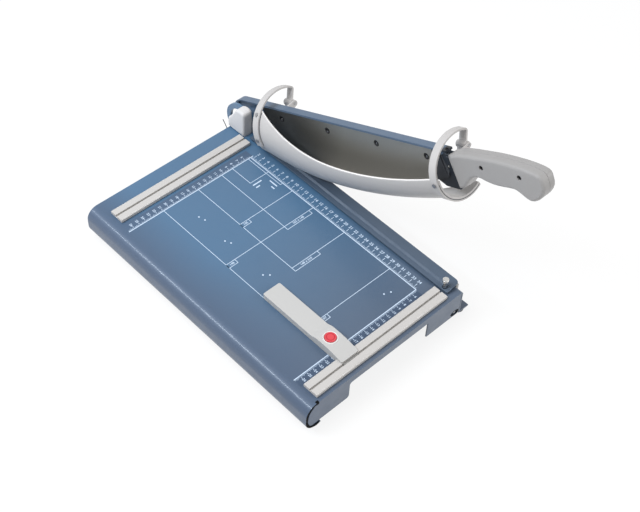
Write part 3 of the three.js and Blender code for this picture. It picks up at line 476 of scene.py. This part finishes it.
def round_roll(form):
    """Finer facets on the upper quarter of the rolled edge."""
    axis = TABLE_FRAME @ Vector((LEFT_X, 0, -ROLL_RADIUS))
    steps = 30
    inside = (ROLL_RADIUS - SHEET - 1) * MM
    snap = 0.35 * MM
    for i in range(1, steps):
        turn = math.pi / 2 * i / steps
        near = []
        for face in form.faces:
            middle = face.calc_center_median() - axis
            if middle.x < 0 < middle.z and inside < math.hypot(middle.x, middle.z):
                near.append(face)
        parts = list({part for face in near for part in list(face.verts) + list(face.edges) + [face]})
        across = Vector((math.cos(turn), 0, math.sin(turn)))
        bmesh.ops.bisect_plane(form, geom=parts, dist=1e-7, plane_co=axis, plane_no=across)
    for vert in form.verts:
        x = vert.co.x - axis.x
        z = vert.co.z - axis.z
        length = math.hypot(x, z)
        if x < 0 < z:
            for radius in (ROLL_RADIUS * MM, (ROLL_RADIUS - SHEET) * MM):
                if abs(length - radius) < snap:
                    vert.co.x = axis.x + x * radius / length
                    vert.co.z = axis.z + z * radius / length


def make_finishes():
    outward = (ARM_FRAME.to_3x3() @ Vector((0, -1, 0))).normalized()
    # Past the front hoop the arm takes the dark colour: painted shade under the hoop.
    hoop_end = ARM_FRAME @ Vector((0, -ARM_DARK_FROM, 0))
    dress("arm_bar", ARM_PAINT, 0.0, split=(DARK, hoop_end, outward), reform=level_tail)
    dress("base_sheet", PAINT, 0.9, reform=round_roll)
    dress("pivot_cap", CAP, 0.0, reform=slope_cap)
    # The blade's front end takes the darker copy of its steel: painted shade.
    blade_end = ARM_FRAME @ Vector((0, -BLADE_DARK_FROM, 0))
    dress("blade", BLADE, 0.0, split=(BLADE_END_SHADE, blade_end, outward))
    for end, reform in (("back", None), ("front", slim_front_ear)):
        dress(f"guard_bracket_{end}", GUARD, 0.5, reform=reform)
        dress(f"guard_pin_{end}", PIN, 0.3, reform=reform)
    # The last value is the width of the rounded edges, in millimetres
    for node, material, slot, width in (
        ("pivot_bracket", PAINT, "table_paint", 0.6),
        ("press_bar", BAR_PAINT, "table_paint", 0.4),
        ("counter_knife", STEEL, "ground_steel", 0.2),
        ("friction_washer", STEEL, "ground_steel", 0.2),
        ("spring_washer_1", STEEL, "ground_steel", 0.1),
        ("spring_washer_2", STEEL, "ground_steel", 0.1),
        ("backstop_shoe", STEEL, "ground_steel", 0.2),
        ("pivot_bolt", ZINC, "zinc_steel", 0.4),
        ("pivot_nut", ZINC, "zinc_steel", 0.4),
        ("clamp_screw", ZINC, "zinc_steel", 0.5),
        ("clamp_nut", ZINC, "zinc_steel", 0.4),
        ("bracket_bolt_1", ZINC, "zinc_steel", 0.4),
        ("bracket_bolt_2", ZINC, "zinc_steel", 0.4),
        ("guard_hoop_back", GUARD, "guard_plastic", 0.5),
        ("guard_hoop_front", GUARD, "guard_plastic", 0.5),
        ("backstop", STOP, "stop_plastic", 0.6),
        ("stop_button", RED, "button_plastic", 0.8),
        ("foot_left_front", RUBBER, "foot_rubber", 0.6),
        ("foot_left_back", RUBBER, "foot_rubber", 0.6),
        ("foot_right_front", RUBBER, "foot_rubber", 0.6),
        ("foot_right_back", RUBBER, "foot_rubber", 0.6),
    ):
        dress(node, material, width)
    for node in ("back_rail", "front_rail"):
        dress(node, RAIL, 1.3, 30, 4)
    for node in ("handle_left", "handle_right"):
        dress(node, GRIP, 0.5, 60, 3)
    for i in (1, 2):
        dress(f"handle_screw_{i}", BLACK_SCREW, 0.2)
    for i in range(1, 5):
        dress(f"knife_screw_{i}", ZINC, 0.3)
    dress("button_spring", STEEL, 0.0, 60)
    for end in ("back", "front"):
        for i in (1, 2):
            dress(f"rail_screw_{end}_{i}", ZINC, 0.3)
            dress(f"strap_screw_{end}_{i}", PIN, 0.3)


# Guard

def guard_section(reach):
    """Centre x, centre height and radius of the guard's arc at a reach along the arm."""
    end = GUARD_BACK if reach < GUARD_BELLY[0] else GUARD_FRONT
    share = min(abs((reach - GUARD_BELLY[0]) / (end[0] - GUARD_BELLY[0])), 1) ** 2
    return [low + (high - low) * share for low, high in zip(GUARD_BELLY[1:], end[1:])]


def guard_ends(reach):
    """Angles of the guard's rim and of its lower edge, counted from the right."""
    rim = math.radians(RIM_ANGLE - RIM_OPENING * math.exp((RIM_START - reach) / RIM_LENGTH))
    flare = min(max((reach - FLARE_START) / (GUARD_FRONT[0] - FLARE_START), 0), 1)
    full = math.radians(EDGE_ANGLE + EDGE_FLARE * flare ** 2)
    height, radius = guard_section(reach)[1:]
    trim = (TRIM_HEIGHT - PIVOT_Z - reach * math.sin(ARM_LIFT)) / math.cos(ARM_LIFT)
    sunk = (height - trim) / radius
    edge = min(math.pi + math.asin(sunk), full) if sunk < 1 else full
    return rim, edge


def guard_point(reach, radius, angle):
    """A point of the frame at a reach, a radius and an angle round the guard's axis."""
    x, height = guard_section(reach)[:2]
    return ARM_FRAME @ Vector((x + radius * math.cos(angle), -reach, height + radius * math.sin(angle)))


def make_guard_shell():
    """The guard's trough: a wall between two arcs with rounded rims, in finer steps than its node."""
    steps = 120
    sides = 36
    reaches = [BACK_HOOP - HOOP_WIDTH / 2]
    reaches += [GUARD_BACK[0] + (GUARD_FRONT[0] - GUARD_BACK[0]) * i / steps for i in range(steps + 1)]
    reaches.append(FRONT_HOOP + HOOP_WIDTH / 2)
    form = bmesh.new()
    rings = []
    for reach in reaches:
        rim, edge = guard_ends(reach)
        radius = guard_section(reach)[2]
        turns = [rim + (edge - rim) * j / sides for j in range(sides + 1)]
        crown = GUARD_LIP / radius
        ring = [(radius, t) for t in turns]
        ring += [(radius - GUARD_LIP, edge + crown), (radius - GUARD_WALL + GUARD_LIP, edge + crown)]
        ring += [(radius - GUARD_WALL, t) for t in reversed(turns)]
        ring += [(radius - GUARD_WALL + GUARD_LIP, rim - crown), (radius - GUARD_LIP, rim - crown)]
        rings.append([form.verts.new(guard_point(reach, r, t)) for r, t in ring])
    count = len(rings[0])
    for first, second in zip(rings, rings[1:]):
        for j in range(count):
            k = (j + 1) % count
            face = form.faces.new([first[j], first[k], second[k], second[j]])
            # The rim's top faces take the lighter copy of the guard plastic: painted highlight.
            face.material_index = 1 if j >= count - 3 else 0
    for ring in (rings[0], rings[-1]):
        for j in range(sides):
            back = 2 * sides + 3 - j
            form.faces.new([ring[j], ring[j + 1], ring[back - 1], ring[back]])
        form.faces.new([ring[sides], ring[sides + 1], ring[sides + 2], ring[sides + 3]])
        form.faces.new([ring[0], ring[count - 1], ring[count - 2], ring[count - 3]])
    piece = finish("guard_shell_finish", form, [GUARD, RIM], "guard", 0.0, 50)
    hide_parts("guard_shell")


def add_arc(form, reach, inner, outer, start, end, steps=60):
    """A strip along the guard's arc between two reaches, from inner to outer past its radius."""
    radius = guard_section((reach[0] + reach[1]) / 2)[2]
    rings = []
    for i in range(steps + 1):
        angle = math.radians(start + (end - start) * i / steps)
        ring = []
        for place, out in ((reach[0], inner), (reach[0], outer), (reach[1], outer), (reach[1], inner)):
            ring.append(form.verts.new(guard_point(place, radius + out, angle)))
        rings.append(ring)
    add_skin(form, rings)


def make_guard_gap_shade():
    """Painted shadow in the gaps between the hoops and the shell."""
    form = bmesh.new()
    near = GUARD_BACK[0]
    add_arc(form, (near + 0.05, near + 0.85), -0.4, 0.2, 136, 193)
    far = FRONT_HOOP + HOOP_WIDTH / 2
    add_arc(form, (far - 0.3, far + 0.15), -0.35, 0.6, 187, 299)
    finish("guard_gap_shade", form, [DARK], "guard", 0.0, 40)


def make_hoop_feet():
    """Flared feet of the hoops, round their lugs."""
    sides = 24
    # Sections from the top down: x, height, half thickness and half width
    sections = (
        (33.2, 23.5, 1.3, 6.0), (32.2, 20.0, 2.3, 6.3), (31.2, 16.5, 3.9, 6.9),
        (30.3, 12.5, 5.3, 7.5), (29.9, 9.2, 5.6, 7.8), (29.9, 8.2, 4.8, 7.2),
    )
    for end, reach in (("back", BACK_HOOP), ("front", FRONT_HOOP)):
        form = bmesh.new()
        rings = []
        for x, height, thick, wide in sections:
            ring = []
            for i in range(sides):
                turn = 2 * math.pi * i / sides
                # Powers below 1 square the section off
                along_x = math.copysign(abs(math.cos(turn)) ** 0.5, math.cos(turn)) * thick
                along_y = math.copysign(abs(math.sin(turn)) ** 0.35, math.sin(turn)) * wide
                ring.append(form.verts.new(ARM_FRAME @ Vector((x + along_x, along_y - reach, height))))
            rings.append(ring)
        add_skin(form, rings)
        finish(f"hoop_foot_{end}", form, [GUARD], "guard", 0.0, 50)


# Print on the table

def add_line(form, x, y, width, lift, index=0):
    """A thin inked bar; x and y are each a place or a pair of places, in millimetres."""
    xs = x if isinstance(x, tuple) else (x - width / 2, x + width / 2)
    ys = y if isinstance(y, tuple) else (y - width / 2, y + width / 2)
    add_box(form, TABLE_FRAME, sorted(xs), sorted(ys), (-INK_HEIGHT, lift), index)


def add_text(form, text, x, y, size, turn, index=0):
    """Plain figures, laid flat with their middle at x, y."""
    curve = bpy.data.curves.new("figures", "FONT")
    curve.body = text
    curve.size = size
    curve.align_x = "CENTER"
    curve.align_y = "CENTER"
    curve.offset = size * 0.015
    curve.extrude = INK_HEIGHT
    curve.resolution_u = 2
    writing = bpy.data.objects.new("figures", curve)
    bpy.context.scene.collection.objects.link(writing)
    mesh = bpy.data.meshes.new_from_object(writing)
    mesh.transform(TABLE_FRAME @ Matrix.Translation((x, y, 0)) @ Matrix.Rotation(turn, 4, "Z"))
    start = len(form.faces)
    form.from_mesh(mesh)
    form.faces.ensure_lookup_table()
    for face in form.faces[start:]:
        face.material_index = index
    bpy.data.objects.remove(writing)
    bpy.data.curves.remove(curve)
    bpy.data.meshes.remove(mesh)


def add_formats(form, low, high):
    """Standard sheets and cards, each with its corner on the cutting line at the back rail."""
    add_line(form, (PRINT_LEFT, MAIN_X + 5), BACK_LINE, THICK_LINE, low)
    add_line(form, MAIN_X, (FRONT_LINE, BACK_LINE), THICK_LINE, high)
    add_line(form, (PRINT_LEFT, MAIN_X), FRONT_LINE, THICK_LINE, low)
    for across, down in ((105, 148), (148, 210), (210, 297), (85, 55), (55, 85)):
        add_line(form, CUT_X - across, (STOP_Y - down, BACK_LINE), THIN_LINE, high)
    for across, down in ((148, 105), (210, 148), (148, 210), (210, 297), (85, 55), (55, 85)):
        add_line(form, (CUT_X - across, MAIN_X), STOP_Y - down, THIN_LINE, low)
    # Labels in a frame of three lines: left end, distance from the back rail, width, text
    for x, down, span, label in (
        (-12, 105, 15, "105"), (31, 148, 46, "105 x 148"), (-74, 148, 15, "148"),
        (-12, 210, 46, "148 x 210"), (-46, 297, 15, "297"),
    ):
        y = STOP_Y - down
        add_line(form, (x, x + span), y - LABEL_HEIGHT, THIN_LINE, low)
        add_line(form, x, (y - LABEL_HEIGHT, y), THIN_LINE, high)
        add_line(form, x + span, (y - LABEL_HEIGHT, y), THIN_LINE, high)
        add_text(form, label, x + span / 2, y - LABEL_HEIGHT / 2, LABEL_SIZE, 0)
    # Short broad strokes inside the cards
    for x, y, length in ((50.8, 107.5, 16), (51.5, 101.4, 7)):
        add_line(form, (x, x + length), y, 2.0, low)
    for x, y, length in ((75.3, 84.2, 15.2), (69.2, 83.0, 6.5)):
        add_line(form, x, (y, y + length), 2.0, low)


def add_rulers(form, low):
    """Rulers in millimetres and centimetres, from the cutting line and from the back rail."""
    side = -math.pi / 2
    for i in range(*RULER_DOWN):
        y = STOP_Y - i
        long = 3.2 if i % 5 == 0 else 1.8
        add_line(form, (MAIN_X + 1, MAIN_X + 1 + long), y, FINE_LINE, low)
        if i % 10 == 0:
            add_line(form, (MAIN_X + 4.2, MAIN_X + 8.6), y, 0.8, low)
            add_text(form, str(i // 10), MAIN_X + 12.7, y, FIGURES_DOWN, side)
    for i in range(*RULER_ACROSS):
        x = CUT_X - i
        for line, tip, text in ((BACK_LINE, 1, 8.6), (FRONT_LINE, -1, -8)):
            long = 2.6 if i % 5 == 0 else 1.5
            add_line(form, x, (line + tip, line + (1 + long) * tip), FINE_LINE, low)
            if i % 10 == 0:
                add_line(form, x, (line + 3.6 * tip, line + 5 * tip), 0.9, low)
                add_text(form, str(i // 10), x, line + text, FIGURES_ACROSS, side)


def make_print():
    form = bmesh.new()
    low = INK_HEIGHT
    add_formats(form, low, INK_HEIGHT * 1.2)
    add_rulers(form, low)
    # Pairs of light dots
    dot = ((0, -INK_HEIGHT), (DOT_RADIUS, -INK_HEIGHT), (DOT_RADIUS, low), (0, low))
    for x, y in (
        (-45, 111.3), (-42.4, 101.5), (-47.1, 54.1), (-43.3, 46), (-48.7, -24.8), (-41.8, -30.9),
        (48.5, -154.4), (57.9, -158.1),
    ):
        add_lathe(form, TABLE_FRAME @ Matrix.Translation((x, y, 0)), dot, 16)
    # Dark bands under the rulers
    layer = (-BAND_DEPTH, BAND_HEIGHT)
    add_box(form, TABLE_FRAME, (PRINT_LEFT, MAIN_X), (FRONT_LINE - 13.5, FRONT_LINE - 0.5), layer, 1)
    add_box(form, TABLE_FRAME, (PRINT_LEFT, MAIN_X + 4), (BACK_LINE + 0.5, BACK_LINE + 15), layer, 2)
    finish("table_print", form, [INK, NAVY_INK, BAND_INK], "base", 0.0, 30)


# Details

def facing_left(x, reach, height):
    """A place on the arm whose Z axis points left."""
    turn = Matrix.Rotation(-math.pi / 2, 4, "Y")
    return ARM_FRAME @ Matrix.Translation((x, -reach, height)) @ turn


def make_blade_screws():
    """Countersunk heads in the blade's left face, each with a deep socket and a ring of painted shadow
    round the head.
    """
    head = (
        (0, -6.3), (2.5, -6.3), (2.5, -1.8), (4.0, -1.8), (4.0, -0.1),
        (3.6, 0.1), (3.2, 0.1), (1.7, -1.6), (0, -1.6),
    )
    core = ((0, -1.6), (1.1, -1.6), (0.8, -0.7), (0, -0.7))
    # The ring round the head is painted shadow.
    edge = ((4.0, -0.3), (4.7, -0.3), (4.6, 0.04), (4.0, 0.04))
    materials = [ZINC, BLACK, BLACK_SCREW]
    for i, reach in enumerate(BLADE_SCREWS):
        place = facing_left(0, reach, BLADE_TOP - BLADE_SCREW_DROP)
        form = bmesh.new()
        add_lathe(form, place, head, 32, 2)
        add_lathe(form, place, core, 16)
        add_lathe(form, place, edge, 32, 1)
        piece = finish(f"blade_screw_{i + 1}_finish", form, materials, "arm", 0.0, 40)
        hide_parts(f"blade_screw_{i + 1}")


def make_handle_hole_shade():
    """Rings of painted shade round the holes in the handle's left side."""
    form = bmesh.new()
    for reach in HANDLE_SCREWS:
        place = facing_left(HANDLE_LEFT, reach, BLADE_TOP - HANDLE_SCREW_DROP)
        add_lathe(form, place, ((3.1, -0.6), (4.1, -0.6), (4.0, 0.08), (3.1, 0.08)), 32)
    finish("handle_hole_shade", form, [BLACK], "arm", 0.0, 40)


def make_button_rim():
    """Raised rim in the backstop round its button, and the ring on the button."""
    low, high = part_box("stop_button")
    middle = (Vector(low) + Vector(high)) / 2
    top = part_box("backstop")[1][2]
    radius = (high[0] - low[0]) / 2 / MM
    form = bmesh.new()
    place = Matrix.Translation((middle.x, middle.y, top)) @ Matrix.Scale(MM, 4)
    rim = (
        (radius + 0.6, -0.3), (radius + 2.2, -0.3), (radius + 2.0, 0.25),
        (radius + 1.4, 0.5), (radius + 0.8, 0.3),
    )
    add_lathe(form, place, rim, 64)
    finish("button_rim", form, [STOP_RIM], "backstop", 0.0, 60)
    form = bmesh.new()
    place = Matrix.Translation((middle.x, middle.y, high[2])) @ Matrix.Scale(MM, 4)
    ring = ((4.6, -0.2), (5.8, -0.2), (5.7, 0.1), (4.7, 0.1))
    add_lathe(form, place, ring, 64)
    finish("button_ring", form, [RED_RING], "stop_button", 0.0, 60)


def make_end_ledges():
    """Stepped ledges and a small screw where the arm meets the handle."""
    form = bmesh.new()
    add_box(form, ARM_FRAME, (1.2, WEB_LEFT), (-409.3, -399.8), (15.6, 17.2))
    add_box(form, ARM_FRAME, (1.8, WEB_LEFT), (-409.3, -400.2), (11.4, 12.6))
    finish("end_ledges", form, [LEDGE], "arm", 0.15, 30)
    form = bmesh.new()
    place = ARM_FRAME @ Matrix.Translation((4.5, -402, BLADE_TOP))
    head = ((0, 0), (2.2, 0), (2.2, 0.7), (1.5, 1.2), (0.7, 1.2), (0.7, 0.5), (0, 0.5))
    add_lathe(form, place, head, 24)
    finish("end_screw", form, [BLACK_SCREW], "arm", 0.0, 30)


def make_end_plate():
    """Sheet that closes the arm's end below the handle, dark with painted shade, with a bright rivet."""
    outline = (
        (368, -6), (372, -25), (388, -33.5), (412.5, -33.5),
        (415, -30.5), (409.4, 1), (409.4, 19), (400, 19),
    )
    form = bmesh.new()
    rings = []
    for x in (WEB_LEFT - 0.06, WEB_LEFT + 2.9):
        points = [ARM_FRAME @ Vector((x, -reach, height)) for reach, height in outline]
        rings.append([form.verts.new(point) for point in points])
    add_skin(form, rings)
    finish("end_plate", form, [DARK], "arm", 0.2, 30)
    form = bmesh.new()
    rivet = ((0, 0), (1.7, 0), (1.5, 0.5), (0.8, 0.8), (0, 0.8))
    add_lathe(form, facing_left(WEB_LEFT, 399.5, -3), rivet, 24)
    finish("end_rivet", form, [ZINC], "arm", 0.0, 40)


def make_front_edge():
    """Painted shade on the edge of the rolled sheet and in its relief notch, and a ring of painted shade
    round the slot.
    """
    form = bmesh.new()
    face = FRONT_Y - 0.15
    steps = 28
    path = [(LEFT_X, -ROLL_RADIUS, ROLL_RADIUS, 92 + 88 * i / steps) for i in range(steps + 1)]
    foot_x = LEFT_X - ROLL_RADIUS + FOOT_RADIUS
    foot_z = -ROLL_RADIUS - ROLL_DROP
    path += [(foot_x, foot_z, FOOT_RADIUS, 180 + 100 * i / steps) for i in range(steps + 1)]
    rings = []
    for middle, height, radius, turn in path:
        across = math.cos(math.radians(turn))
        rise = math.sin(math.radians(turn))
        ring = []
        for y in (face, FRONT_Y + 0.4):
            for reach in (radius - 3.2, radius - 0.15):
                point = (middle + reach * across, y, height + reach * rise)
                ring.append(form.verts.new(TABLE_FRAME @ Vector(point)))
        rings.append([ring[0], ring[1], ring[3], ring[2]])
    add_skin(form, rings)
    add_box(form, TABLE_FRAME, (LEFT_X - 0.8, LEFT_X + 3.6), (face, FRONT_Y + 3.2), (-4.0, 0.14))
    finish("roll_edge", form, [BLACK], "base", 0.0, 40)
    form = bmesh.new()
    place = (
        TABLE_FRAME @ Matrix.Translation((SLOT_X, FRONT_Y, SLOT_Z))
        @ Matrix.Rotation(math.pi / 2, 4, "X") @ Matrix.Diagonal((1.75, 1, 1, 1))
    )
    add_lathe(form, place, ((3.1, -0.3), (4.4, -0.3), (4.4, 0.3), (3.1, 0.3)), 40)
    finish("slot_ring", form, [BLACK], "base", 0.0, 40)


def make_back_wire():
    """Spring leg that stands behind the back edge, left of the cap."""
    route = (
        (102.5, -9.0), (101.6, -4.0), (100.6, 0.0), (99.6, 3.5), (97.8, 9.0), (95.9, 14.5), (94.0, 20.0),
    )
    points = [TABLE_FRAME @ Vector((x, BACK_Y + 0.8, z)) for x, z in route]
    form = bmesh.new()
    add_tube(form, points, 0.6 * MM, 10)
    finish("back_wire", form, [WIRE], "base", 0.0, 50)


make_finishes()
make_guard_shell()
make_guard_gap_shade()
make_hoop_feet()
make_print()
make_blade_screws()
make_handle_hole_shade()
make_button_rim()
make_end_ledges()
make_end_plate()
make_front_edge()
make_back_wire()


# Floor, light and camera

def seen_or_mirrored(nodes, links):
    """1 for rays that show the background straight on, in a reflection or through glass."""
    path = nodes.new("ShaderNodeLightPath")
    total = path.outputs["Is Camera Ray"]
    for name in ("Is Glossy Ray", "Is Transmission Ray"):
        either = nodes.new("ShaderNodeMath")
        either.operation = "MAXIMUM"
        links.new(total, either.inputs[0])
        links.new(path.outputs[name], either.inputs[1])
        total = either.outputs[0]
    return total


def make_stage():
    """A wide floor that shows nearly white and keeps a soft shadow."""
    material, nodes, links, shader = new_material("floor")
    shader.inputs["Base Color"].default_value = (0.9, 0.9, 0.9, 1)
    shader.inputs["Roughness"].default_value = 0.9
    glow = nodes.new("ShaderNodeEmission")
    glow.inputs["Strength"].default_value = 1.0
    share = nodes.new("ShaderNodeMath")
    share.operation = "MULTIPLY"
    share.inputs[1].default_value = FLOOR_GLOW
    links.new(seen_or_mirrored(nodes, links), share.inputs[0])
    mix = nodes.new("ShaderNodeMixShader")
    links.new(share.outputs[0], mix.inputs[0])
    links.new(shader.outputs[0], mix.inputs[1])
    links.new(glow.outputs[0], mix.inputs[2])
    links.new(mix.outputs[0], nodes["Material Output"].inputs["Surface"])
    side = FLOOR_HALF
    z = TABLE.z + DESK * MM
    corners = [(-side, -side, z), (side, -side, z), (side, side, z), (-side, side, z)]
    mesh = bpy.data.meshes.new("floor")
    mesh.from_pydata(corners, [], [(0, 1, 2, 3)])
    mesh.materials.append(material)
    link("floor", mesh)


def area_light(name, place, size, power, aim=(0, 0, 0), color=(1, 1, 1), mirrored=True):
    data = bpy.data.lights.new(name, "AREA")
    data.shape = "RECTANGLE"
    data.size = size[0]
    data.size_y = size[1]
    data.energy = power
    data.color = color
    lamp = bpy.data.objects.new(name, data)
    bpy.context.scene.collection.objects.link(lamp)
    lamp.location = TABLE + Vector(place)
    lamp.visible_glossy = mirrored
    lamp.rotation_euler = (Vector(aim) - Vector(place)).to_track_quat("-Z", "Y").to_euler()


def make_world():
    world = bpy.data.worlds.new("studio")
    bpy.context.scene.world = world
    world.use_nodes = True
    nodes = world.node_tree.nodes
    links = world.node_tree.links
    strength = ramp(nodes, links, seen_or_mirrored(nodes, links), WORLD_LIGHT, WORLD_SEEN, 0, 1)
    nodes["Background"].inputs["Color"].default_value = (1, 1, 1, 1)
    links.new(strength, nodes["Background"].inputs["Strength"])


def make_camera():
    data = bpy.data.cameras.new("camera")
    data.sensor_width = SENSOR
    data.sensor_fit = "HORIZONTAL"
    data.lens = FOCAL_PIXELS * SENSOR / IMAGE_WIDTH
    camera = bpy.data.objects.new("camera", data)
    bpy.context.scene.collection.objects.link(camera)
    back = -Vector(CAMERA_FORWARD).normalized()
    right = Vector(CAMERA_RIGHT).normalized()
    up = back.cross(right).normalized()
    right = up.cross(back)
    turn = Matrix((right, up, back)).transposed().to_4x4()
    camera.matrix_world = Matrix.Translation(TABLE + Vector(CAMERA_PLACE)) @ turn
    bpy.context.scene.camera = camera


make_stage()
make_world()
# Each light: place and size in metres, the place from the middle of the table top, and power in watts
area_light("key", (-0.7, 0.5, 2.1), (1.4, 1.4), 38, mirrored=False)
area_light("front", (0.95, -1.6, 0.95), (1.2, 0.8), 15)
area_light("roll_strip", (-1.236, 0.91, 1.41), (1.1, 0.15), 20, (-0.15, 0.91, 0), (0.78, 0.88, 1.0))
make_camera()
bpy.context.scene.view_settings.view_transform = "Standard"
